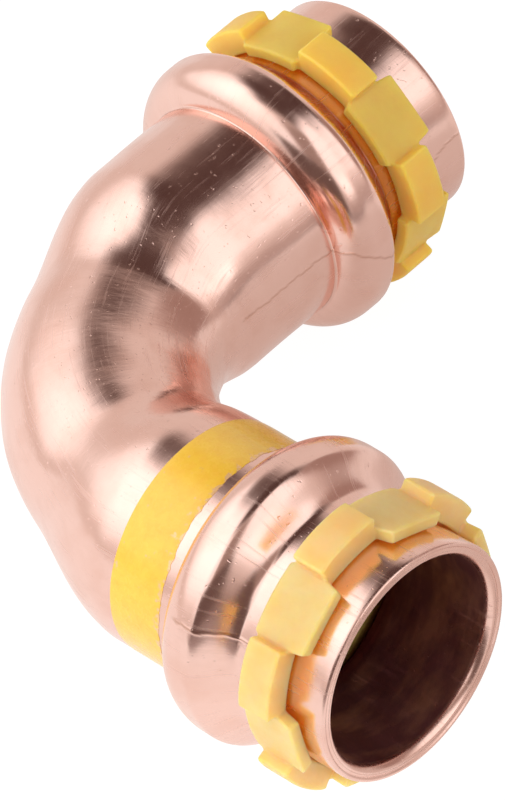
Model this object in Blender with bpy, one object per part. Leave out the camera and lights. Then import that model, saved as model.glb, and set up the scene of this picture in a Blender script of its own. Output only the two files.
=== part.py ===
"""A 90 degree press-fit elbow for 22 mm gas tube.

A formed copper body has a socket on each leg. A round bead near each mouth holds a seal ring. A soft plastic
indicator ring sits on each mouth and pulls off along the leg, and a band of ink marks the body for gas.

The elbow lies flat with +Z up. The lower leg points along +X and the upper leg along +Y. The origin is at
the middle of the bottom of its box. A station is a distance from the corner, where the two axes cross.
"""

import math

import bpy
import numpy as np
from mathutils import Matrix

# Socket: an open cylinder that takes the tube
SOCKET_BORE_RADIUS = 0.0111
WALL = 0.0016
MOUTH_TO_CORNER = 0.0560
RIM_CHAMFER = 0.0003

# Bead: the round swelling around the socket. The groove inside it holds the seal ring and follows its shape.
BEAD_HEIGHT = 0.0033
BEAD_FOOT_TO_MOUTH = 0.0111
BEAD_FRONT_LENGTH = 0.0039
BEAD_CREST_LENGTH = 0.0013
BEAD_BACK_LENGTH = 0.0035

# Bend: a slimmer tube, drawn in further on its outer side than on its inner side
BEND_RADIUS = 0.0242
BEND_OUTER_REACH = 0.0097
BEND_INNER_REACH = 0.01225
BEND_HALF_HEIGHT = 0.00995
SHOULDER_START = 0.0262
SHOULDER_LENGTH = 0.0110

# Seal ring
SEAL_CLEARANCE = 0.0003
SEAL_LIP = 0.0001

# Indicator ring: long thin tabs and short raised blocks take turns around it
INDICATOR_CLEARANCE = 0.0003
TAB_THICKNESS = 0.0014
TAB_LENGTH = 0.0063
BLOCK_THICKNESS = 0.0028
BLOCK_FRONT_SETBACK = 0.0018
BLOCK_BACK_SETBACK = 0.0012
TAB_COUNT = 6
TAB_SHARE = 0.52
TAB_DRAFT = math.radians(1.2)
LOWER_INDICATOR_TO_FOOT = 0.0022
UPPER_INDICATOR_TO_FOOT = 0.0002
LOWER_INDICATOR_TURN = math.radians(7)
UPPER_INDICATOR_TURN = math.radians(-41)

# Gas marking band: a film around the lower leg, behind the bead
BAND_CLEARANCE = 0.0003
BAND_THICKNESS = 0.0003
BAND_LENGTH = 0.0066
BAND_TO_BEAD = 0.0016

# Fineness of the faceted solids
BODY_SIDES = 40
SEAL_SECTION_SIDES = 10
STEPS_PER_SEGMENT = 4

# Worked out from the sizes above
SOCKET_RADIUS = SOCKET_BORE_RADIUS + WALL
BEAD_RADIUS = SOCKET_RADIUS + BEAD_HEIGHT
BEAD_FOOT = MOUTH_TO_CORNER - BEAD_FOOT_TO_MOUTH
BEAD_CREST_FRONT = BEAD_FOOT - BEAD_FRONT_LENGTH
BEAD_CREST_BACK = BEAD_CREST_FRONT - BEAD_CREST_LENGTH
BEAD_BACK = BEAD_CREST_BACK - BEAD_BACK_LENGTH
GROOVE_MIDDLE = (BEAD_CREST_FRONT + BEAD_CREST_BACK) / 2
GROOVE_HALF_LENGTH = (BEAD_FOOT - BEAD_BACK) / 2 - WALL
MIDDLE_OF_BEND = BEND_RADIUS * (1 - math.pi / 4)
BEND_REACHES = (BEND_OUTER_REACH, BEND_INNER_REACH, BEND_HALF_HEIGHT)
INDICATOR_RADIUS = SOCKET_RADIUS + INDICATOR_CLEARANCE
WIDEST_RADIUS = max(BEAD_RADIUS, INDICATOR_RADIUS + BLOCK_THICKNESS)


def clear_scene():
    for obj in list(bpy.data.objects):
        bpy.data.objects.remove(obj, do_unlink=True)


def ease(share):
    """Goes smoothly from 0 to 1 as share does, with no slope at either end."""
    return 0.5 - 0.5 * np.cos(np.pi * np.clip(share, 0, 1))


def bead_rise(station):
    """Height of the bead: a quarter ellipse at the back, a flat crest, and an eased slope to its foot."""
    back = np.clip((BEAD_CREST_BACK - station) / BEAD_BACK_LENGTH, 0, 1)
    front = (station - BEAD_CREST_FRONT) / BEAD_FRONT_LENGTH
    return BEAD_HEIGHT * np.sqrt(1 - back**2) * (1 - ease(front))


def groove_rise(station):
    """Depth of the groove: a rounded box, so that its floor is wide and its corners are soft."""
    across = np.clip(np.abs(station - GROOVE_MIDDLE) / GROOVE_HALF_LENGTH, 0, 1)
    return BEAD_HEIGHT * (1 - across**3) ** (1 / 3)


def shoulder(station, slim):
    """Change of a reach from the socket's radius to the bend's slim value, along the shoulder."""
    return (slim - SOCKET_RADIUS) * ease((SHOULDER_START - station) / SHOULDER_LENGTH)


def outer_reaches(station):
    """Reach of the outer skin on the bend's outer side, on its inner side, and upwards."""
    radius = SOCKET_RADIUS + bead_rise(station)
    return [radius + shoulder(station, slim) for slim in BEND_REACHES]


def inner_reaches(station):
    """The same three reaches for the inner skin, which follows the outer one a wall inside it."""
    radius = SOCKET_BORE_RADIUS + groove_rise(station)
    return [radius + shoulder(station, slim) for slim in BEND_REACHES]


def sections(stations, reaches):
    """One oval of points for each station of the lower leg, in the corner's frame.

    Past BEND_RADIUS the leg is straight. Closer than that the centre line is an arc about a point that is
    BEND_RADIUS from both axes, and a section is square to it.
    """
    stations = np.asarray(stations, float)
    outer, inner, height = reaches
    turn = np.clip((BEND_RADIUS - stations) / BEND_RADIUS, 0, None)
    pivot = np.stack([np.maximum(stations, BEND_RADIUS), np.full_like(stations, BEND_RADIUS)], axis=1)
    outward = np.stack([-np.sin(turn), -np.cos(turn)], axis=1)
    far_side = pivot + (BEND_RADIUS + outer)[:, None] * outward
    near_side = pivot + (BEND_RADIUS - inner)[:, None] * outward
    middle = (far_side + near_side) / 2
    half = (far_side - near_side) / 2
    around = np.linspace(0, 2 * np.pi, BODY_SIDES, endpoint=False)
    points = np.empty((len(stations), BODY_SIDES, 3))
    points[:, :, :2] = middle[:, None] + half[:, None] * np.cos(around)[None, :, None]
    points[:, :, 2] = height[:, None] * np.sin(around)[None, :]
    return points


def both_legs(lower):
    """Sections from the lower mouth to the upper one. The upper leg mirrors the lower, with X and Y swapped."""
    upper = lower[::-1][1:][:, :, [1, 0, 2]]
    return np.concatenate([lower, upper])


def spread(start, end, count):
    return np.linspace(start, end, count + 1)[1:]


def closed_grid(rings):
    """Vertices and quads of a solid whose rings of points follow each other round and back to the first."""
    count, sides = rings.shape[:2]
    index = np.arange(count * sides).reshape(count, sides)
    ahead = np.roll(index, -1, axis=0)
    quads = np.stack([index, np.roll(index, -1, axis=1), np.roll(ahead, -1, axis=1), ahead], axis=2)
    return rings.reshape(-1, 3), quads.reshape(-1, 4)


def material(name, colour, metallic, roughness):
    made = bpy.data.materials.new(name)
    made.use_nodes = True
    shader = made.node_tree.nodes["Principled BSDF"]
    shader.inputs["Base Color"].default_value = (*colour, 1)
    shader.inputs["Metallic"].default_value = metallic
    shader.inputs["Roughness"].default_value = roughness
    return made


def add_solid(name, points, faces, finish, parent, place=(0, 0, 0)):
    """A named object made of these faces, turned outwards, and shaded smooth except at its real edges."""
    mesh = bpy.data.meshes.new(name)
    mesh.from_pydata([tuple(point) for point in points], [], [tuple(map(int, face)) for face in faces])
    mesh.validate()
    corners = np.array([[mesh.vertices[v].co for v in face.vertices[:3]] for face in mesh.polygons])
    quarters = np.array([[mesh.vertices[face.vertices[k]].co for k in (0, 2, 3)] for face in mesh.polygons])
    if np.linalg.det(corners).sum() + np.linalg.det(quarters).sum() < 0:
        mesh.flip_normals()
    mesh.shade_smooth()
    mesh.set_sharp_from_angle(angle=math.radians(40))
    mesh.materials.append(finish)
    obj = bpy.data.objects.new(name, mesh)
    obj.parent = parent
    obj.location = place
    bpy.context.scene.collection.objects.link(obj)
    return obj


def add_empty(name, placement, parent=None):
    empty = bpy.data.objects.new(name, None)
    empty.empty_display_size = 0.01
    empty.parent = parent
    empty.matrix_local = placement
    bpy.context.scene.collection.objects.link(empty)
    return empty


def add_body(corner, finish):
    """The copper body: its outer skin, the two flat rims, and its inner skin, as one closed solid."""
    rim = MOUTH_TO_CORNER - RIM_CHAMFER
    quarter = np.linspace(0, np.pi / 2, 7)
    bead_back = BEAD_CREST_BACK - BEAD_BACK_LENGTH * np.sin(quarter)
    bend = np.concatenate([
        spread(BEAD_BACK, SHOULDER_START, 2),
        spread(SHOULDER_START, SHOULDER_START - SHOULDER_LENGTH, 8),
        spread(SHOULDER_START - SHOULDER_LENGTH, MIDDLE_OF_BEND, 5),
    ])
    outside = np.concatenate([
        [rim, BEAD_FOOT],
        spread(BEAD_FOOT, BEAD_CREST_FRONT, 7),
        bead_back,
        bend,
    ])
    outer = sections(outside, outer_reaches(outside))
    groove_wave = GROOVE_MIDDLE + GROOVE_HALF_LENGTH * np.cos(np.linspace(0, np.pi, 11))
    inside = np.concatenate([
        [rim],
        groove_wave,
        bend[1:],
    ])
    inner = sections(inside, inner_reaches(inside))
    mouth = np.array([MOUTH_TO_CORNER])
    rim_edges = [
        sections(mouth, [np.array([radius])] * 3)
        for radius in (SOCKET_RADIUS - RIM_CHAMFER, SOCKET_BORE_RADIUS + RIM_CHAMFER)
    ]
    outer_skin = both_legs(np.concatenate([rim_edges[0], outer]))
    inner_skin = both_legs(np.concatenate([rim_edges[1], inner]))
    points, faces = closed_grid(np.concatenate([outer_skin, inner_skin[::-1]]))
    add_solid("elbow_body", points, faces, finish, corner)


def add_marking_band(corner, finish):
    """The marking band follows the body's outer skin, a clearance outside it."""
    front = BEAD_BACK - BAND_TO_BEAD
    stations = np.linspace(front, front - BAND_LENGTH, 4)
    lower_face = [reach + BAND_CLEARANCE for reach in outer_reaches(stations)]
    upper_face = [reach + BAND_THICKNESS for reach in lower_face]
    rings = np.concatenate([sections(stations, upper_face), sections(stations, lower_face)[::-1]])
    points, faces = closed_grid(rings)
    add_solid("gas_marking_band", points, faces, finish, corner)


def add_seal_ring(name, leg_axis, finish):
    """A round-section ring that fills its groove to a clearance and stands a lip proud of the bore."""
    outermost = SOCKET_BORE_RADIUS + BEAD_HEIGHT - SEAL_CLEARANCE
    innermost = SOCKET_BORE_RADIUS - SEAL_LIP
    middle = (outermost + innermost) / 2
    thickness = (outermost - innermost) / 2
    around = np.linspace(0, 2 * np.pi, BODY_SIDES, endpoint=False)[None, :]
    section = np.linspace(0, 2 * np.pi, SEAL_SECTION_SIDES, endpoint=False)[:, None]
    reach = middle + thickness * np.cos(section)
    height = thickness * np.sin(section) + 0 * around
    rings = np.stack([reach * np.cos(around), reach * np.sin(around), height], axis=2)
    points, faces = closed_grid(rings)
    add_solid(name, points, faces, finish, leg_axis, (0, 0, GROOVE_MIDDLE))


def add_indicator_ring(name, leg_axis, gap_to_foot, turn, finish):
    """A ring of tabs and blocks, with its axis on the leg's axis and its back edge at height 0.

    Each angle has eight points where it belongs to a tab and six where it belongs to a block. A tab and the
    block beside it share the four points of the band that both hold.
    """
    tab_radius = INDICATOR_RADIUS + TAB_THICKNESS
    block_radius = INDICATOR_RADIUS + BLOCK_THICKNESS
    block_back = BLOCK_BACK_SETBACK
    block_front = TAB_LENGTH - BLOCK_FRONT_SETBACK
    tab_angle = 2 * math.pi / TAB_COUNT * TAB_SHARE
    block_angle = 2 * math.pi / TAB_COUNT - tab_angle
    points = []
    faces = []

    def point(radius, angle, height):
        points.append((radius * math.cos(angle), radius * math.sin(angle), height))
        return len(points) - 1

    def shared_band(angle):
        """The inner back, inner front, outer front and outer back points that a tab and a block share."""
        return [
            point(INDICATOR_RADIUS, angle, block_back),
            point(INDICATOR_RADIUS, angle, block_front),
            point(tab_radius, angle, block_front),
            point(tab_radius, angle, block_back),
        ]

    def tab_tips(angle):
        """The points of the tab's two ends: inner back, inner front, outer front, outer back."""
        return [
            point(INDICATOR_RADIUS, angle, 0),
            point(INDICATOR_RADIUS, angle, TAB_LENGTH),
            point(tab_radius, angle, TAB_LENGTH),
            point(tab_radius, angle, 0),
        ]

    def block_top(angle):
        return [point(block_radius, angle, block_front), point(block_radius, angle, block_back)]

    def join(first, second):
        for k in range(len(first)):
            following = (k + 1) % len(first)
            faces.append((first[k], first[following], second[following], second[k]))

    edges = []
    for step in range(TAB_COUNT):
        start = turn + step * (tab_angle + block_angle) - tab_angle / 2
        edges.append((start, shared_band(start)))
        edges.append((start + tab_angle, shared_band(start + tab_angle)))
    for step in range(TAB_COUNT):
        (start, first_band), (end, last_band) = edges[2 * step : 2 * step + 2]
        rings = []
        for k in range(STEPS_PER_SEGMENT + 1):
            share = k / STEPS_PER_SEGMENT
            angle = start + (end - start) * share
            tip_angle = angle + TAB_DRAFT * (1 - 2 * share)
            ends_here = k in (0, STEPS_PER_SEGMENT)
            band = (first_band if k == 0 else last_band) if ends_here else shared_band(angle)
            tips = tab_tips(tip_angle)
            rings.append([tips[0], band[0], band[1], tips[1], tips[2], band[2], band[3], tips[3]])
        for before, after in zip(rings, rings[1:]):
            join(before, after)
        for ring, order in ((rings[0], 1), (rings[-1], -1)):
            faces.append((ring[0], ring[7], ring[6], ring[1])[::order])
            faces.append((ring[2], ring[5], ring[4], ring[3])[::order])
        next_start, next_band = edges[(2 * step + 2) % len(edges)]
        rings = []
        for k in range(STEPS_PER_SEGMENT + 1):
            angle = end + block_angle * k / STEPS_PER_SEGMENT
            ends_here = k in (0, STEPS_PER_SEGMENT)
            band = (last_band if k == 0 else next_band) if ends_here else shared_band(angle)
            top = block_top(angle)
            rings.append([band[0], band[1], band[2], top[0], top[1], band[3]])
        for before, after in zip(rings, rings[1:]):
            join(before, after)
        for ring, order in ((rings[0], 1), (rings[-1], -1)):
            faces.append((ring[2], ring[5], ring[4], ring[3])[::order])
    add_solid(name, points, faces, finish, leg_axis, (0, 0, BEAD_FOOT + gap_to_foot))


def main():
    clear_scene()
    copper = material("copper", (0.80, 0.47, 0.36), 1.0, 0.22)
    seal_rubber = material("seal_rubber", (0.72, 0.55, 0.10), 0.0, 0.45)
    indicator_plastic = material("indicator_plastic", (0.90, 0.62, 0.18), 0.0, 0.40)
    marking_ink = material("marking_ink", (0.92, 0.60, 0.05), 0.0, 0.30)

    centring = -(MOUTH_TO_CORNER - WIDEST_RADIUS) / 2
    corner = add_empty("corner", Matrix.Translation((centring, centring, WIDEST_RADIUS)))
    # A leg's empty has its own Z along the leg, so that what fits on the leg is modelled upright.
    lower_axis = add_empty("lower_leg_axis", Matrix(((0, 0, 1), (1, 0, 0), (0, 1, 0))).to_4x4(), corner)
    upper_axis = add_empty("upper_leg_axis", Matrix.Rotation(-math.pi / 2, 4, "X"), corner)

    add_body(corner, copper)
    add_marking_band(corner, marking_ink)
    add_seal_ring("lower_seal_ring", lower_axis, seal_rubber)
    add_seal_ring("upper_seal_ring", upper_axis, seal_rubber)
    for name, axis, gap, turn in (
        ("lower_indicator_ring", lower_axis, LOWER_INDICATOR_TO_FOOT, LOWER_INDICATOR_TURN),
        ("upper_indicator_ring", upper_axis, UPPER_INDICATOR_TO_FOOT, UPPER_INDICATOR_TURN),
    ):
        add_indicator_ring(name, axis, gap, turn, indicator_plastic)


main()
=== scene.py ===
"""A 90 degree press-fit copper elbow for gas tube, lying flat on a pale light table in a small studio.

The elbow lies flat with +Z up, its lower leg along +X and its upper leg along +Y. A station is a distance
from the corner where the two axes cross. Everything is in metres.
"""

import math

import bmesh
import bpy
import numpy as np
from mathutils import Matrix, Vector


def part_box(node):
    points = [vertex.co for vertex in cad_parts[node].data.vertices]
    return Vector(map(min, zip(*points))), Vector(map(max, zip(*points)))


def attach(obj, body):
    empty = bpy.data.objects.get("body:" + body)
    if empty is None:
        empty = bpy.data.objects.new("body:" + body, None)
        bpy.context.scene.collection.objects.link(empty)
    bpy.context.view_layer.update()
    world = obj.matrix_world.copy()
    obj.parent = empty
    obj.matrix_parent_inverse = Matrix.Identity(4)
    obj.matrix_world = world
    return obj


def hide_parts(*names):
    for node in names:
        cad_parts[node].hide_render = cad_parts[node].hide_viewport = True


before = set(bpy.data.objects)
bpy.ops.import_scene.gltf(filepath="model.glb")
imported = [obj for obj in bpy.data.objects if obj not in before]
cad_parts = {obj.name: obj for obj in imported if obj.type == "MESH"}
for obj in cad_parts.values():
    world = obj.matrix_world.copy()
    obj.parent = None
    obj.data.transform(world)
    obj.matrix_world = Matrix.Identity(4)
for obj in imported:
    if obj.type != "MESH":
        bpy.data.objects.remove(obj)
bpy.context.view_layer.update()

# ---------------------------------------------------------------------------------------------------------
# Camera
# A long lens looks down between the two legs. It is rolled a little, so that the fitting fills a tall frame.
# ---------------------------------------------------------------------------------------------------------
CAMERA_PLACE = (0.3741, -0.3166, 0.4965)
CAMERA_AZIMUTH = math.radians(50.1)
CAMERA_ELEVATION = math.radians(44.52)
CAMERA_ROLL = math.radians(-10.22)
FOCAL_LENGTH_MM = 311.65
SENSOR_WIDTH_MM = 36

camera_data = bpy.data.cameras.new("camera")
camera_data.sensor_width = SENSOR_WIDTH_MM
camera_data.lens = FOCAL_LENGTH_MM
camera_data.clip_start = 0.01
camera_data.clip_end = 20
camera = bpy.data.objects.new("camera", camera_data)
camera.matrix_world = (
    Matrix.Translation(CAMERA_PLACE)
    @ Matrix.Rotation(CAMERA_AZIMUTH, 4, "Z")
    @ Matrix.Rotation(math.pi / 2 - CAMERA_ELEVATION, 4, "X")
    @ Matrix.Rotation(CAMERA_ROLL, 4, "Z")
)
bpy.context.scene.collection.objects.link(camera)
bpy.context.scene.camera = camera
bpy.context.scene.view_settings.view_transform = "Standard"


# ---------------------------------------------------------------------------------------------------------
# Studio light
# Two big soft boxes light the fitting from its two ends. Black cards near the camera and at the back give
# bright copper its dark streaks. Past them is a pale room, and the camera itself sees a plain white backdrop.
# ---------------------------------------------------------------------------------------------------------
ROOM_RADIANCE = (0.76, 0.68, 0.64)
BACKDROP_RADIANCE = (0.985, 0.985, 0.985)
# Each panel: azimuth from +X towards +Y, elevation, half width and half height in degrees as seen from the
# fitting, softness in degrees, and radiance. A later panel hides an earlier one.
PANELS = (
    ("left soft box", 226, 42, 50, 30, 8, (1.14, 1.14, 1.14)),
    ("its bright middle", 216, 47, 27, 22, 18, (1.62, 1.62, 1.62)),
    ("black card at the back", 103, 62, 34, 17, 9, (0.080, 0.045, 0.040)),
    ("dark ceiling", 112, 83, 24, 20, 8, (0.080, 0.045, 0.040)),
    ("shade beside it", 67, 15, 19, 25, 7, (0.36, 0.25, 0.22)),
    ("right soft box", 12, 45, 26, 25, 6, (1.30, 1.30, 1.30)),
    ("its bright foot", 7, 19, 14, 7, 5, (1.60, 1.60, 1.60)),
    ("dark stand under it", 22, -2, 38, 11, 5, (0.48, 0.39, 0.36)),
    ("gap between the soft boxes", -38, 48, 17, 22, 6, (0.36, 0.28, 0.25)),
    ("black card under the camera", -56, 12, 36, 22, 5, (0.14, 0.095, 0.085)),
)
# Two more boxes light the plastic and the ink. Their sheen is feathered off the copper. Each has its place,
# its diameter and its power in watts.
FILL_LIGHTS = (
    ("left_fill", (-0.10, -0.95, 0.45), 0.7, 5.4),
    ("right_fill", (0.90, -0.30, 0.45), 0.6, 2.4),
)
# A direction that leans toward a panel by less than this counts as behind it.
LEAST_LEAN = 0.02


def add_node(tree, kind, inputs=(), **settings):
    """A node of that kind. inputs maps a socket's name or number to a value or to another node's output."""
    made = tree.nodes.new(kind)
    for key, value in settings.items():
        setattr(made, key, value)
    for key, value in dict(inputs).items():
        if isinstance(value, bpy.types.NodeSocket):
            tree.links.new(value, made.inputs[key])
        else:
            made.inputs[key].default_value = value
    return made


def calculate(tree, operation, *values):
    """The output of a Math node that does this operation to these values."""
    return add_node(tree, "ShaderNodeMath", enumerate(values), operation=operation).outputs[0]


def dot_product(tree, first, second):
    """How far the first vector reaches along the second, for a second one of length 1."""
    return add_node(tree, "ShaderNodeVectorMath", {0: first, 1: second}, operation="DOT_PRODUCT").outputs[1]


def remap(tree, value, low, high, to_low=0.0, to_high=1.0, kind="LINEAR"):
    """The value with low..high stretched to to_low..to_high, held at both ends."""
    inputs = {"Value": value, "From Min": low, "From Max": high, "To Min": to_low, "To Max": to_high}
    return add_node(tree, "ShaderNodeMapRange", inputs, interpolation_type=kind).outputs["Result"]


def mix_colours(tree, share, first, second, blend="MIX"):
    """The two colours mixed by share, which runs from 0 to 1."""
    made = add_node(tree, "ShaderNodeMix", {0: share}, data_type="RGBA", blend_type=blend)
    for socket, colour in ((made.inputs[6], first), (made.inputs[7], second)):
        if isinstance(colour, bpy.types.NodeSocket):
            tree.links.new(colour, socket)
        else:
            socket.default_value = (*colour, 1)
    return made.outputs[2]


def panel_share(tree, direction, azimuth, elevation, half_width, half_height, softness):
    """1 inside a flat panel seen from the fitting and 0 outside, eased over its soft edge.

    The direction is projected on the plane of the panel, so the panel is a rectangle there.
    """
    turn = Matrix.Rotation(math.radians(azimuth), 3, "Z") @ Matrix.Rotation(math.radians(-elevation), 3, "Y")
    forward, side, up = (dot_product(tree, direction, turn.col[axis]) for axis in range(3))
    ahead = calculate(tree, "MAXIMUM", forward, LEAST_LEAN)
    share = calculate(tree, "GREATER_THAN", forward, LEAST_LEAN)
    for across, half in ((side, half_width), (up, half_height)):
        slope = calculate(tree, "DIVIDE", calculate(tree, "ABSOLUTE", across), ahead)
        angle = calculate(tree, "ARCTANGENT", slope)
        near, far = math.radians(half - softness), math.radians(half + softness)
        share = calculate(tree, "MULTIPLY", share, remap(tree, angle, near, far, 1, 0, "SMOOTHSTEP"))
    return share


world = bpy.data.worlds.new("studio")
world.use_nodes = True
bpy.context.scene.world = world
sky = world.node_tree
sky.nodes.clear()
direction = add_node(sky, "ShaderNodeTexCoord").outputs["Generated"]
radiance = add_node(sky, "ShaderNodeRGB").outputs[0]
radiance.default_value = (*ROOM_RADIANCE, 1)
for _, *outline, panel_radiance in PANELS:
    radiance = mix_colours(sky, panel_share(sky, direction, *outline), radiance, panel_radiance)
room = add_node(sky, "ShaderNodeBackground", {"Color": radiance})
backdrop = add_node(sky, "ShaderNodeBackground", {"Color": (*BACKDROP_RADIANCE, 1)})
seen = add_node(sky, "ShaderNodeLightPath").outputs["Is Camera Ray"]
shown = add_node(sky, "ShaderNodeMixShader", {0: seen, 1: room.outputs[0], 2: backdrop.outputs[0]})
add_node(sky, "ShaderNodeOutputWorld", {"Surface": shown.outputs[0]})

for name, light_place, diameter, power in FILL_LIGHTS:
    light_data = bpy.data.lights.new(name, "AREA")
    light_data.shape = "DISK"
    light_data.size = diameter
    light_data.energy = power
    light = bpy.data.objects.new(name, light_data)
    light.location = light_place
    light.rotation_euler = (-Vector(light_place)).to_track_quat("-Z", "Y").to_euler()
    light.visible_glossy = False
    light.visible_camera = False
    bpy.context.scene.collection.objects.link(light)


# ---------------------------------------------------------------------------------------------------------
# Floor
# A sheet of white acrylic lit from below, so the fitting throws only a faint shadow. What the copper mirrors
# of it is dimmer toward the back and between the two legs, where the fitting shades it, and ends at the
# table's near edge.
# ---------------------------------------------------------------------------------------------------------
FLOOR_REACH = 0.8
TABLE_EDGE = 0.118
FLOOR_COLOUR = (0.16, 0.16, 0.16)
GLOW_SEEN = 0.93
GLOW = (0.83, 0.81, 0.80)
GLOW_AT_BACK = (0.69, 0.65, 0.63)
GLOW_IN_SHADE = (0.53, 0.46, 0.43)
GLOW_PAST_EDGE = (0.15, 0.10, 0.09)
SHADE_MIDDLE = (0.130, 0.032, 0)
SHADE_HALF_LENGTHS = (0.158, 0.055, 1)
SHADE_TURN = math.radians(3)
# Where the glow changes: in metres toward the back, in half lengths of the shade, and at the table's edge.
BACK_FADE = (-0.02, 0.06)
SHADE_FADE = (0.88, 1.12)
EDGE_SOFTNESS = 0.006
FLOOR_GRAINS_PER_METRE = 400

floor_mesh = bpy.data.meshes.new("floor")
corners = [(x * FLOOR_REACH, y * FLOOR_REACH, 0) for x, y in ((-1, -1), (1, -1), (1, 1), (-1, 1))]
floor_mesh.from_pydata(corners, [], [(0, 1, 2, 3)])
floor_finish = bpy.data.materials.new("lit_acrylic")
floor_finish.use_nodes = True
tree = floor_finish.node_tree
shader = tree.nodes["Principled BSDF"]
place = add_node(tree, "ShaderNodeTexCoord").outputs["Object"]
grain = add_node(tree, "ShaderNodeTexNoise", {"Vector": place, "Scale": FLOOR_GRAINS_PER_METRE}).outputs[0]
shader.inputs["Base Color"].default_value = (*FLOOR_COLOUR, 1)
shader.inputs["Specular IOR Level"].default_value = 0
tree.links.new(remap(tree, grain, 0, 1, 0.7, 0.9), shader.inputs["Roughness"])
# A point's distance from the middle of the shade, in half lengths, is 1 on the shade's oval.
oval = {
    "Vector": place,
    "Location": SHADE_MIDDLE,
    "Rotation": (0, 0, SHADE_TURN),
    "Scale": SHADE_HALF_LENGTHS,
}
in_oval = add_node(tree, "ShaderNodeMapping", oval, vector_type="TEXTURE").outputs[0]
from_middle = add_node(tree, "ShaderNodeVectorMath", {0: in_oval}, operation="LENGTH").outputs["Value"]
toward_back = add_node(tree, "ShaderNodeSeparateXYZ", {0: place}).outputs[1]
to_camera = (math.sin(CAMERA_AZIMUTH), -math.cos(CAMERA_AZIMUTH), 0)
ahead = dot_product(tree, place, to_camera)
past_edge = remap(tree, ahead, TABLE_EDGE - EDGE_SOFTNESS, TABLE_EDGE + EDGE_SOFTNESS)
glow = mix_colours(tree, remap(tree, toward_back, *BACK_FADE, 0, 1, "SMOOTHSTEP"), GLOW, GLOW_AT_BACK)
glow = mix_colours(tree, remap(tree, from_middle, *SHADE_FADE, 1, 0, "SMOOTHSTEP"), glow, GLOW_IN_SHADE)
glow = mix_colours(tree, past_edge, glow, GLOW_PAST_EDGE)
seen = add_node(tree, "ShaderNodeLightPath").outputs["Is Camera Ray"]
tree.links.new(mix_colours(tree, seen, glow, (GLOW_SEEN,) * 3), shader.inputs["Emission Color"])
shader.inputs["Emission Strength"].default_value = 1
floor_mesh.materials.append(floor_finish)
floor = bpy.data.objects.new("floor", floor_mesh)
bpy.context.scene.collection.objects.link(floor)


# ---------------------------------------------------------------------------------------------------------
# Elbow body
# One length of copper tube, bent and then swaged to a socket at each end, with a rolled bead that holds the
# seal ring. The outside is bright and lightly scratched by the die, the rims are machined, and the inside is
# brown with oxide from annealing. A fine flash line runs along each leg where the halves of the die met.
# ---------------------------------------------------------------------------------------------------------
body_low, body_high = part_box("elbow_body")
BEAD_RADIUS = (body_high.z - body_low.z) / 2
CORNER = np.array(body_low) + BEAD_RADIUS
MOUTH = body_high.x - CORNER[0]
SOCKET_RADIUS = 0.0127
WALL = 0.0016
BEAD_HEIGHT = BEAD_RADIUS - SOCKET_RADIUS
BEAD_FOOT_TO_MOUTH = 0.0111
BEAD_FRONT_LENGTH = 0.0039
BEAD_CREST_LENGTH = 0.0013
BEAD_BACK_LENGTH = 0.0035
BEAD_FOOT = MOUTH - BEAD_FOOT_TO_MOUTH
CREST_FRONT = BEAD_FOOT - BEAD_FRONT_LENGTH
CREST_BACK = CREST_FRONT - BEAD_CREST_LENGTH
BEAD_BACK = CREST_BACK - BEAD_BACK_LENGTH
GROOVE_MIDDLE = (CREST_FRONT + CREST_BACK) / 2
GROOVE_HALF_LENGTH = (BEAD_FOOT - BEAD_BACK) / 2 - WALL
BEND_RADIUS = 0.0242
# How far the bend's oval reaches to its outer side, to its inner side and upwards.
BEND_REACHES = (0.0097, 0.01225, 0.00995)
SHOULDER_START = 0.0262
SHOULDER_LENGTH = 0.0110
MIDDLE_OF_BEND = BEND_RADIUS * (1 - math.pi / 4)
HALF_TRAVEL = MOUTH - MIDDLE_OF_BEND
# The rim from its outer edge to the bore: distance behind the mouth's face, and depth below the outer skin.
RIM_PROFILE = np.array([
    (0.00040, 0.0), (0.00018, 0.00004), (0.00004, 0.00014), (0.0, 0.00028), (0.00003, 0.00042),
    (0.00016, 0.00050), (0.00018, 0.00060), (0.00006, 0.00072), (0.00005, 0.00084), (0.00014, 0.00090),
    (0.00007, 0.00096), (0.00006, 0.00106), (0.00022, 0.00124), (0.00040, 0.00144), (0.00080, 0.00160),
])
WAVE_HEIGHT = 0.00002
# Each wave left in the skin: its length, its direction over the unrolled tube, and its phase.
WAVES = ((0.011, 0.3, 0.9, 0.4, 0.5), (0.017, 0.8, -0.5, 0.3, 2.1), (0.008, -0.6, 0.4, 0.9, 4.0))
FLASH_HEIGHT = 0.00007
FLASH_WIDTH = 0.00011
FLASH_TAPER = 0.0015
# The flash lines of each leg: stations, degrees around at those stations, and where the line starts and ends.
UPPER_FLASH_LINES = (
    ((0.022, 0.034, 0.037, 0.041), (171, 172, 174, 185), 0.0215, 0.0425),
    ((0.050, 0.054), (175, 168), 0.0490, 0.0600),
)
LOWER_FLASH_LINES = (((0.038, 0.047), (28, 28), 0.0380, 0.0475),)
# The skin's unevenness fades in over this length behind each rim.
EVEN_LENGTH = 0.003


def ease(share):
    """Goes smoothly from 0 to 1 as share does, along half a cosine wave."""
    return 0.5 - 0.5 * np.cos(np.pi * np.clip(share, 0, 1))


def bead_rise(station):
    """Height of the bead: a quarter ellipse at the back, a flat crest, and an eased slope to its foot."""
    back = np.clip((CREST_BACK - station) / BEAD_BACK_LENGTH, 0, 1)
    down_slope = ease((station - CREST_FRONT) / (BEAD_FOOT - CREST_FRONT))
    return BEAD_HEIGHT * np.sqrt(1 - back**2) * (1 - down_slope)


def groove_rise(station):
    """Depth of the groove, a rounded box: the cube root of 1 less the cube of the distance across it."""
    across = np.clip(np.abs(station - GROOVE_MIDDLE) / GROOVE_HALF_LENGTH, 0, 1)
    return BEAD_HEIGHT * (1 - across**3) ** (1 / 3)


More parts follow.
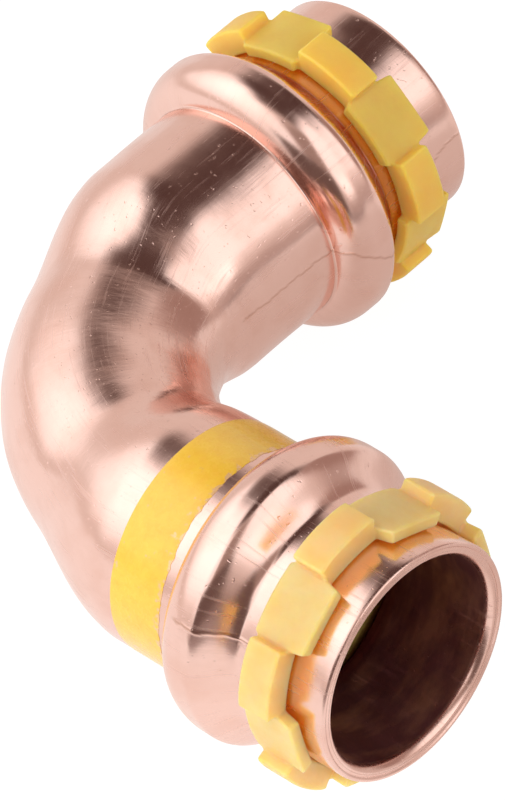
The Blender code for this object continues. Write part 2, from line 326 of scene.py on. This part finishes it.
def station_of(travel):
    """The station at this travel, which runs from the lower mouth, below 0, to the upper one, above 0."""
    return MIDDLE_OF_BEND + np.abs(travel)


def skin(travel, angle, lift):
    """Points of a tube around both legs and the bend, for arrays of one shape.

    The centre line is straight beyond BEND_RADIUS and an arc about a point BEND_RADIUS from both axes closer
    in. The section square to it is an oval, whose reach on the outer side (angle 0), on the inner side (half
    a turn) and upwards goes from the socket's radius to the bend's reaches along the shoulder. lift is how
    far a point stands off that oval. The upper leg is the lower one with X and Y changed over.
    """
    station = station_of(travel)
    share = ease((SHOULDER_START - station) / SHOULDER_LENGTH)
    outer, inner, height = (SOCKET_RADIUS + lift + (slim - SOCKET_RADIUS) * share for slim in BEND_REACHES)
    turn = np.clip((BEND_RADIUS - station) / BEND_RADIUS, 0, None)
    middle = BEND_RADIUS + (outer - inner) / 2
    reach = middle + (outer + inner) / 2 * np.cos(angle)
    first = np.maximum(station, BEND_RADIUS) - reach * np.sin(turn)
    second = BEND_RADIUS - reach * np.cos(turn)
    upper = travel > 0
    x, y = np.where(upper, second, first), np.where(upper, first, second)
    return np.stack([x, y, height * np.sin(angle)], -1) + CORNER


def unrolled_place(travel, angle):
    """The point at this angle on the socket's circle, with travel for its third axis, to place patterns."""
    return np.stack([SOCKET_RADIUS * np.cos(angle), SOCKET_RADIUS * np.sin(angle), travel], -1)


def unevenness(travel, angle):
    """Shallow lows left by the die, never above 0: a sum of sine waves that run in a few directions."""
    place = unrolled_place(travel, angle)
    waves = sum(np.sin(2 * np.pi * (place @ np.array(way)) / length + phase) for length, *way, phase in WAVES)
    return (waves - len(WAVES)) * WAVE_HEIGHT


def closed_grid(name, rows):
    """A mesh whose rows of points follow each other, round and back to the first, with every row a loop.

    If its faces look toward its middle on the whole, they are turned round.
    """
    count, sides = rows.shape[:2]
    index = np.arange(count * sides).reshape(count, sides)
    ahead = np.roll(index, -1, axis=0)
    quads = np.stack([index, np.roll(index, -1, axis=1), np.roll(ahead, -1, axis=1), ahead], axis=2)
    quads = quads.reshape(-1, 4)
    points = rows.reshape(-1, 3)
    across = np.cross(points[quads[:, 2]] - points[quads[:, 0]], points[quads[:, 3]] - points[quads[:, 1]])
    if np.einsum("ij,ij->", across, points[quads].mean(1) - points.mean(0)) < 0:
        quads = quads[:, ::-1]
    mesh = bpy.data.meshes.new(name)
    mesh.from_pydata(points.tolist(), [], quads.tolist())
    mesh.shade_smooth()
    return mesh


def add_piece(mesh, finish, body, slot, *stands_for):
    """Links a piece of this mesh and finish, and says what it rides on and which CAD nodes it replaces."""
    mesh.materials.append(finish)
    piece = bpy.data.objects.new(mesh.name, mesh)
    bpy.context.scene.collection.objects.link(piece)
    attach(piece, body)
    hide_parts(*stands_for)
    return piece


def flash_line(station, angle, stations, degrees, start, end):
    """A thin ridge: a bell curve of the distance from the line through stations and degrees.

    The line wanders by under a degree, as sine waves of three lengths, and the ridge tapers at start and end.
    """
    line = np.radians(np.interp(station, stations, degrees))
    jag = 0.5 * np.sin(station * 1700) * np.sin(station * 610 + 1) + 0.25 * np.sin(station * 5300)
    off = (angle - line + np.radians(jag)) * SOCKET_RADIUS
    window = ease((station - start) / FLASH_TAPER) * ease((end - station) / FLASH_TAPER)
    return np.exp(-((off / FLASH_WIDTH) ** 2)) * window


def spread(start, end, step):
    """Even values from start to just before end, about a step apart."""
    return np.linspace(start, end, max(2, round(abs(end - start) / step) + 1))[:-1]


# The rows' stations, from the mouth to the middle of the bend, closest where the skin turns fastest.
mouth_back = MOUTH - RIM_PROFILE[0, 0]
outside = np.concatenate([
    spread(mouth_back, BEAD_FOOT, 0.0006),
    spread(BEAD_FOOT, CREST_FRONT, 0.00024),
    spread(CREST_FRONT, CREST_BACK, 0.00026),
    CREST_BACK - BEAD_BACK_LENGTH * np.sin(np.linspace(0, np.pi / 2, 18)),
    spread(BEAD_BACK - 0.0002, SHOULDER_START, 0.0006),
    spread(SHOULDER_START, SHOULDER_START - SHOULDER_LENGTH, 0.00048),
    spread(SHOULDER_START - SHOULDER_LENGTH, MIDDLE_OF_BEND, 0.0006),
])
inside = np.concatenate([
    spread(MOUTH - RIM_PROFILE[-1, 0] - 0.0004, GROOVE_MIDDLE + GROOVE_HALF_LENGTH + 0.0003, 0.0012),
    GROOVE_MIDDLE + GROOVE_HALF_LENGTH * np.cos(np.linspace(0, np.pi, 21)),
    spread(GROOVE_MIDDLE - GROOVE_HALF_LENGTH - 0.0003, SHOULDER_START, 0.0014),
    spread(SHOULDER_START, MIDDLE_OF_BEND, 0.0010),
])
# The points of a row stand closer where the flash lines run.
around = np.radians(np.concatenate([
    spread(-170, 22, 2.1), spread(22, 34, 0.6), spread(34, 162, 2.1), spread(162, 190, 0.55)
]))
# The rows go over the outside from the lower mouth to the upper one, over the upper rim, back through the
# inside, and over the lower rim.
rim_travel = HALF_TRAVEL - RIM_PROFILE[:, 0]
out_travel = np.concatenate([-(outside - MIDDLE_OF_BEND), (outside - MIDDLE_OF_BEND)[::-1]])
in_travel = np.concatenate([(inside - MIDDLE_OF_BEND), -(inside - MIDDLE_OF_BEND)[::-1]])
travel = np.concatenate([out_travel, rim_travel[1:], in_travel, -rim_travel[:0:-1]])
rows_out = len(out_travel)
rows_rim = len(rim_travel) - 1
rows_in = len(in_travel)
lift = np.concatenate([
    bead_rise(station_of(out_travel)),
    -RIM_PROFILE[1:, 1],
    groove_rise(station_of(in_travel)) - WALL,
    -RIM_PROFILE[:0:-1, 1],
])
travel, angle = np.meshgrid(travel, around, indexing="ij")
lift = np.repeat(lift[:, None], len(around), axis=1)
skin_side = (np.arange(len(travel)) < rows_out)[:, None]
station = station_of(travel)
flash = np.where(
    travel > 0,
    sum(flash_line(station, angle, *line) for line in UPPER_FLASH_LINES),
    sum(flash_line(station, angle, *line) for line in LOWER_FLASH_LINES),
) * skin_side
unrolled = unrolled_place(travel, angle)
waves = unevenness(travel, angle) * skin_side * ease((mouth_back - station) / EVEN_LENGTH)
body_mesh = closed_grid("copper_elbow_body", skin(travel, angle, lift + waves + flash * FLASH_HEIGHT))
row = np.broadcast_to(np.arange(len(travel))[:, None], travel.shape)
in_bore = (row >= rows_out + rows_rim) & (row < rows_out + rows_rim + rows_in)
on_rim = (row >= rows_out) & ~in_bore
for name, values in (("inside", in_bore), ("machined", on_rim), ("flash", flash)):
    layer = body_mesh.attributes.new(name, "FLOAT", "POINT")
    layer.data.foreach_set("value", values.ravel().astype(np.float32))
layer = body_mesh.attributes.new("unrolled", "FLOAT_VECTOR", "POINT")
layer.data.foreach_set("vector", unrolled.ravel().astype(np.float32))

COPPER_COLOUR = (0.955, 0.640, 0.550)
TARNISH_COLOUR = (0.86, 0.52, 0.42)
OXIDE_COLOUR = (0.40, 0.170, 0.180)
OXIDE_LIGHT_COLOUR = (0.74, 0.40, 0.29)
FLASH_COLOUR = (0.52, 0.26, 0.16)
TARNISH_SHARE = 0.55
FLASH_SHARE = 0.55
MACHINED_TARNISH = 0.1
BRIGHT_ROUGHNESS = (0.15, 0.24)
SCRATCH_ROUGHNESS = 0.18
OXIDE_ROUGHNESS = 0.26
MACHINED_ROUGHNESS = 0.06
SCRATCH_HEIGHT = 0.42
PIT_HEIGHT = 2.0
# The bend is stretched as it is formed, which leaves its skin like orange peel. The crinkles fade between
# these two distances from its middle, measured along the tube.
PEEL_FADE = (0.010, 0.024)
CRINKLE_HEIGHTS = (2.0, 0.6)
SKIN_RELIEF = 0.000012
DENT_RELIEF = 0.00009
# Scratches run along the tube, and crinkles and stains around it.
ALONG_TUBE = (1, 1, 0.05)
AROUND_TUBE = (0.25, 0.25, 1)
STAIN_STRETCH = (0.35, 0.35, 1)


def new_finish(name):
    """A material with its node tree and its shader."""
    finish = bpy.data.materials.new(name)
    finish.use_nodes = True
    return finish, finish.node_tree, finish.node_tree.nodes["Principled BSDF"]


def noise(tree, place, scale, detail=3.0, stretch=(1, 1, 1), roughness=0.5):
    """Noise with this many features to a metre, stretched along the axes of place."""
    mapped = add_node(tree, "ShaderNodeMapping", {"Vector": place, "Scale": stretch}).outputs[0]
    inputs = {"Vector": mapped, "Scale": scale, "Detail": detail, "Roughness": roughness}
    return add_node(tree, "ShaderNodeTexNoise", inputs).outputs[0]


def attribute(tree, name, output):
    """What the mesh's attribute of this name holds."""
    return add_node(tree, "ShaderNodeAttribute", attribute_name=name).outputs[output]


def bump(tree, height, strength, relief, normal=None):
    """The normal of a surface with this relief, in metres for a height of 1, on top of another normal's."""
    inputs = {"Strength": strength, "Distance": relief, "Height": height}
    if normal is not None:
        inputs["Normal"] = normal
    return add_node(tree, "ShaderNodeBump", inputs).outputs[0]


copper, tree, shader = new_finish("bright_drawn_copper")
place = attribute(tree, "unrolled", "Vector")
within = attribute(tree, "inside", "Fac")
machined = attribute(tree, "machined", "Fac")
ridge = attribute(tree, "flash", "Fac")
blotches = noise(tree, place, 260, 4)
scratches = noise(tree, place, 2600, 3, ALONG_TUBE, 0.6)
crinkles = noise(tree, place, 1500, 3, AROUND_TUBE, 0.6)
pits = noise(tree, place, 2200, 1)
few_pits = remap(tree, pits, 0.71, 0.77)
tarnish = remap(tree, blotches, 0.45, 0.75, 0, TARNISH_SHARE)
colour = mix_colours(tree, tarnish, COPPER_COLOUR, TARNISH_COLOUR)
colour = mix_colours(tree, calculate(tree, "MULTIPLY", ridge, FLASH_SHARE), colour, FLASH_COLOUR)
stains = remap(tree, noise(tree, place, 420, 5, STAIN_STRETCH), 0.42, 0.66)
oxide = mix_colours(tree, stains, OXIDE_COLOUR, OXIDE_LIGHT_COLOUR)
colour = mix_colours(tree, within, colour, oxide)
colour = mix_colours(tree, calculate(tree, "MULTIPLY", machined, MACHINED_TARNISH), colour, TARNISH_COLOUR)
tree.links.new(colour, shader.inputs["Base Color"])
shader.inputs["Metallic"].default_value = 1.0
rough = remap(tree, blotches, 0.3, 0.7, *BRIGHT_ROUGHNESS)
rough = calculate(tree, "ADD", rough, remap(tree, scratches, 0.55, 0.75, 0, SCRATCH_ROUGHNESS))
rough = calculate(tree, "ADD", rough, calculate(tree, "MULTIPLY", within, OXIDE_ROUGHNESS))
rough = calculate(tree, "ADD", rough, calculate(tree, "MULTIPLY", machined, MACHINED_ROUGHNESS))
tree.links.new(rough, shader.inputs["Roughness"])
height = calculate(tree, "MULTIPLY", scratches, SCRATCH_HEIGHT)
travelled = calculate(tree, "ABSOLUTE", add_node(tree, "ShaderNodeSeparateXYZ", {0: place}).outputs[2])
crinkled = remap(tree, travelled, *PEEL_FADE, *CRINKLE_HEIGHTS)
height = calculate(tree, "ADD", height, calculate(tree, "MULTIPLY", crinkles, crinkled))
height = calculate(tree, "SUBTRACT", height, calculate(tree, "MULTIPLY", few_pits, PIT_HEIGHT))
crinkled_normal = bump(tree, height, 0.6, SKIN_RELIEF)
dents = noise(tree, place, 190, 2)
tree.links.new(bump(tree, dents, 0.5, DENT_RELIEF, crinkled_normal), shader.inputs["Normal"])
add_piece(body_mesh, copper, "fitting", "copper", "elbow_body")


# ---------------------------------------------------------------------------------------------------------
# Gas marking band
# A coat of glossy yellow ink rolled around the lower leg. The edge toward the bend is clean, and the edge
# toward the bead is ragged where the roller left it.
# ---------------------------------------------------------------------------------------------------------
band_low, band_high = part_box("gas_marking_band")
BAND_BACK = band_low.x - CORNER[0]
BAND_FRONT = band_high.x - CORNER[0]
INK_STANDOFF = 0.00001
INK_THICKNESS = 0.00004
INK_LIP = 0.00001
RAGGED_DEPTH = 0.00011
INK_COLOUR = (0.93, 0.565, 0.050)
INK_THIN_COLOUR = (0.90, 0.50, 0.040)
WORN_COLOUR = (0.92, 0.56, 0.26)
WORN_LENGTH = 0.0014
WORN_NEAR_BEAD = 0.26
WORN_METALLIC = 0.25
INK_ROUGHNESS = (0.20, 0.34)
INK_RELIEF = 0.00003
INK_SIDES = 720
INK_ROWS = 25
RAGGED_SEED = 4
RAGGED_GAIN = 1.6
# A ripple that comes this many times around is halved, and finer ones shrink more.
SMOOTH_PAST = 45

ink_angle = np.linspace(0, 2 * np.pi, INK_SIDES, endpoint=False)
# Random steps, smoothed over a few neighbours, so that the edge is uneven at no one spacing.
steps = np.fft.rfft(np.random.default_rng(RAGGED_SEED).normal(size=INK_SIDES))
steps /= 1 + (np.arange(len(steps)) / SMOOTH_PAST) ** 2
ragged = np.clip(np.fft.irfft(steps, INK_SIDES) * RAGGED_GAIN, -1, 1)
across = ease(np.linspace(0, 1, INK_ROWS))[:, None]
ink_edge = BAND_FRONT - RAGGED_DEPTH * (1 + ragged)[None, :]
ink_station = BAND_BACK + (ink_edge - BAND_BACK) * across
ink_travel = MIDDLE_OF_BEND - ink_station
ink_around = np.repeat(ink_angle[None, :], len(across), axis=0)
on_copper = INK_STANDOFF + unevenness(ink_travel, ink_around)
under = skin(ink_travel, ink_around, on_copper)
crown = INK_THICKNESS * (1 - (2 * across - 1) ** 8)
over = skin(ink_travel, ink_around, on_copper + INK_LIP + crown)
band_mesh = closed_grid("gas_marking_ink", np.concatenate([over, under[::-1]]))
ink, tree, shader = new_finish("glossy_yellow_ink")
place = add_node(tree, "ShaderNodeTexCoord").outputs["Object"]
streaks = noise(tree, place, 900, 3)
# Toward the bead the ink is rubbed through in patches, and the copper shows.
along_leg = add_node(tree, "ShaderNodeSeparateXYZ", {0: place}).outputs[0]
near_bead = remap(tree, along_leg, band_high.x - WORN_LENGTH, band_high.x, 0, WORN_NEAR_BEAD)
worn = calculate(tree, "ADD", noise(tree, place, 1100, 4), near_bead)
worn = remap(tree, worn, 0.67, 0.74)
colour = mix_colours(tree, remap(tree, streaks, 0.4, 0.75), INK_COLOUR, INK_THIN_COLOUR)
tree.links.new(mix_colours(tree, worn, colour, WORN_COLOUR), shader.inputs["Base Color"])
tree.links.new(calculate(tree, "MULTIPLY", worn, WORN_METALLIC), shader.inputs["Metallic"])
rough = remap(tree, noise(tree, place, 1400), 0.3, 0.7, *INK_ROUGHNESS)
tree.links.new(rough, shader.inputs["Roughness"])
tree.links.new(bump(tree, streaks, 0.4, INK_RELIEF), shader.inputs["Normal"])
shader.inputs["Coat Weight"].default_value = 0.5
shader.inputs["Coat Roughness"].default_value = 0.12
add_piece(band_mesh, ink, "fitting", "marking_ink", "gas_marking_band")


# ---------------------------------------------------------------------------------------------------------
# Seal rings
# Moulded yellow nitrile O-rings, pushed by hand into the groove inside each bead, where they lie almost level
# with the bore.
# ---------------------------------------------------------------------------------------------------------
SEAL_COLOUR = (0.55, 0.42, 0.09)
SEAL_DUST_COLOUR = (0.42, 0.30, 0.08)
SEAL_ROUGHNESS = (0.38, 0.6)
SEAL_RELIEF = 0.00004
SEAL_SIDES = 128
SECTION_SIDES = 28


def around_leg(leg, station, radius, angle):
    """Points at this station, radius and angle around the leg's axis, which is X below and Y above."""
    flat = (radius * np.cos(angle), radius * np.sin(angle))
    return np.stack((station, *flat) if leg == "lower" else (flat[0], station, flat[1]), -1) + CORNER


seal_rubber, tree, shader = new_finish("nitrile_rubber")
place = add_node(tree, "ShaderNodeTexCoord").outputs["Object"]
bloom = noise(tree, place, 2400, 4)
colour = mix_colours(tree, remap(tree, bloom, 0.35, 0.7), SEAL_COLOUR, SEAL_DUST_COLOUR)
tree.links.new(colour, shader.inputs["Base Color"])
tree.links.new(remap(tree, bloom, 0.3, 0.7, *SEAL_ROUGHNESS), shader.inputs["Roughness"])
tree.links.new(bump(tree, bloom, 0.6, SEAL_RELIEF), shader.inputs["Normal"])
section, circle = np.meshgrid(
    np.linspace(0, 2 * np.pi, SECTION_SIDES, endpoint=False),
    np.linspace(0, 2 * np.pi, SEAL_SIDES, endpoint=False),
    indexing="ij",
)
for leg in ("lower", "upper"):
    seal_low, seal_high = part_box(f"{leg}_seal_ring")
    along = 0 if leg == "lower" else 1
    seal_station = (seal_low[along] + seal_high[along]) / 2 - CORNER[along]
    seal_reach = (seal_high.z - seal_low.z) / 2
    # The section is round, and as long along the leg as the CAD's.
    section_radius = (seal_high[along] - seal_low[along]) / 2
    radius = seal_reach - section_radius + section_radius * np.cos(section)
    seal_rows = around_leg(leg, seal_station + section_radius * np.sin(section), radius, circle)
    seal_mesh = closed_grid(f"{leg}_nitrile_seal", seal_rows)
    add_piece(seal_mesh, seal_rubber, "fitting", "seal_rubber", f"{leg}_seal_ring")


# ---------------------------------------------------------------------------------------------------------
# Indicator rings
# Soft translucent plastic, moulded in one piece and pushed on each mouth. Six thin tabs and six raised blocks
# take turns, so that the ring is weak and falls off when the joint is pressed.
# ---------------------------------------------------------------------------------------------------------
TAB_COUNT = 6
TAB_SHARE = 0.52
RING_INNER_RADIUS = 0.01282
TAB_RADIUS = 0.0143
BLOCK_RADIUS = 0.01575
BLOCK_FRONT_SETBACK = 0.0018
BLOCK_BACK_SETBACK = 0.0006
# How much farther out the ends of a tab or a block stand than its middle, as a share of the radius, and how
# much lower the ends of a block's top are.
BACK_FLARE = 0.004
MIDDLE_FLARE = 0.010
FRONT_FLARE = 0.026
BLOCK_CROWN = 0.006
TAB_FRONT_TAPER = 0.10
TAB_BACK_TAPER = 0.04
EDGE_ROUNDING = 0.00036
ROUNDING_SEGMENTS = 3
ROUNDED_FROM = math.radians(35)
SEGMENT_STEPS = 10
MERGE_DISTANCE = 0.000001
LOWER_RING_TURN = math.radians(7)
UPPER_RING_TURN = math.radians(41)
# The lower ring's colours are painted paler, a painted light, and the upper ring's deeper, a painted shade.
# Each has a main colour and a deeper one.
RING_LIT_AND_SHADED_COLOURS = {
    "lower": ((0.98, 0.585, 0.240), (0.97, 0.53, 0.175)),
    "upper": ((0.88, 0.550, 0.105), (0.86, 0.49, 0.080)),
}
RING_ROUGHNESS = (0.38, 0.52)
GRAIN_RELIEF = 0.00002
CLOUD_RELIEF = 0.00015


def ring_mesh(name, leg, turn):
    """One ring of tabs and blocks.

    Each angle has a section of eight points, four inside and four outside. On a tab they reach the ring's
    front and back edges at one thickness. On a block they stop short of both edges, and the middle two of the
    outer four rise to the block's top. Where a tab meets a block, their sections stand at one angle but for
    the tab's tapered ends, and the faces between them are the side walls. Radii grow a little toward the ends
    of each tab and block, which are flatter than the copper.
    """
    low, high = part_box(f"{leg}_indicator_ring")
    along = 0 if leg == "lower" else 1
    back, front = low[along] - CORNER[along], high[along] - CORNER[along]
    share = np.linspace(-1, 1, SEGMENT_STEPS + 1)
    pitch = 2 * np.pi / TAB_COUNT
    tab_half, block_half = pitch * TAB_SHARE / 2, pitch * (1 - TAB_SHARE) / 2
    flares = (BACK_FLARE, MIDDLE_FLARE, MIDDLE_FLARE, FRONT_FLARE)
    ones = np.ones_like(share)
    block_back, block_front = back + BLOCK_BACK_SETBACK, front - BLOCK_FRONT_SETBACK
    inner, tab, block = RING_INNER_RADIUS, TAB_RADIUS, BLOCK_RADIUS * (1 - BLOCK_CROWN * share**4)
    flatter = [1 + flare * share**2 for flare in flares]
    middle = flatter[1]
    # A section lists its inner points from back to front, then its outer ones from front to back.
    tab_line = (back, block_back, block_front, front)
    block_line = (block_back, block_back, block_front, block_front)
    tapers = (TAB_BACK_TAPER, 0, 0, TAB_FRONT_TAPER)
    tab_section = (
        [height * ones for height in (*tab_line, *tab_line[::-1])],
        [inner * flat for flat in flatter] + [tab * flat for flat in flatter[::-1]],
        [share * tab_half * (1 - taper) for taper in (*tapers, *tapers[::-1])],
    )
    block_section = (
        [height * ones for height in (*block_line, *block_line[::-1])],
        [inner * middle] * 4 + [tab * middle, block, block, tab * middle],
        [share * block_half] * 8,
    )
    stations, radii, angles = [], [], []
    for step in range(TAB_COUNT):
        for (heights, reaches, offsets), centre in (
            (tab_section, turn + step * pitch),
            (block_section, turn + (step + 0.5) * pitch),
        ):
            stations.append(np.stack(heights, 1))
            radii.append(np.stack(reaches, 1))
            angles.append(np.stack(offsets, 1) + centre)
    stations, radii, angles = (np.concatenate(values) for values in (stations, radii, angles))
    mesh = closed_grid(name, around_leg(leg, stations, radii, angles))
    shape = bmesh.new()
    shape.from_mesh(mesh)
    bmesh.ops.remove_doubles(shape, verts=shape.verts, dist=MERGE_DISTANCE)
    bmesh.ops.dissolve_degenerate(shape, dist=MERGE_DISTANCE, edges=shape.edges)
    bmesh.ops.recalc_face_normals(shape, faces=shape.faces)
    shape.to_mesh(mesh)
    shape.free()
    mesh.shade_smooth()
    return mesh


for leg, turn in (("lower", LOWER_RING_TURN), ("upper", UPPER_RING_TURN)):
    ring_plastic, tree, shader = new_finish(f"translucent_yellow_plastic_{leg}")
    place = add_node(tree, "ShaderNodeTexCoord").outputs["Object"]
    clouds = noise(tree, place, 300, 3)
    grain = noise(tree, place, 2600, 3)
    # The lower ring takes the paler colours, a painted light, and the upper ring the deeper ones, a painted
    # shade.
    colour = mix_colours(tree, remap(tree, clouds, 0.35, 0.7), *RING_LIT_AND_SHADED_COLOURS[leg])
    tree.links.new(colour, shader.inputs["Base Color"])
    tree.links.new(remap(tree, grain, 0.3, 0.7, *RING_ROUGHNESS), shader.inputs["Roughness"])
    shader.inputs["Subsurface Weight"].default_value = 1.0
    shader.inputs["Subsurface Radius"].default_value = (1.0, 0.62, 0.20)
    shader.inputs["Subsurface Scale"].default_value = 0.0045
    grained = bump(tree, grain, 0.5, GRAIN_RELIEF)
    tree.links.new(bump(tree, clouds, 0.5, CLOUD_RELIEF, grained), shader.inputs["Normal"])
    mesh = ring_mesh(f"{leg}_castellated_ring", leg, turn)
    ring = add_piece(mesh, ring_plastic, f"{leg}_indicator", "indicator_plastic", f"{leg}_indicator_ring")
    rounding = ring.modifiers.new("rounded_edges", "BEVEL")
    rounding.width = EDGE_ROUNDING
    rounding.segments = ROUNDING_SEGMENTS
    rounding.limit_method = "ANGLE"
    rounding.angle_limit = ROUNDED_FROM
    rounding.harden_normals = True
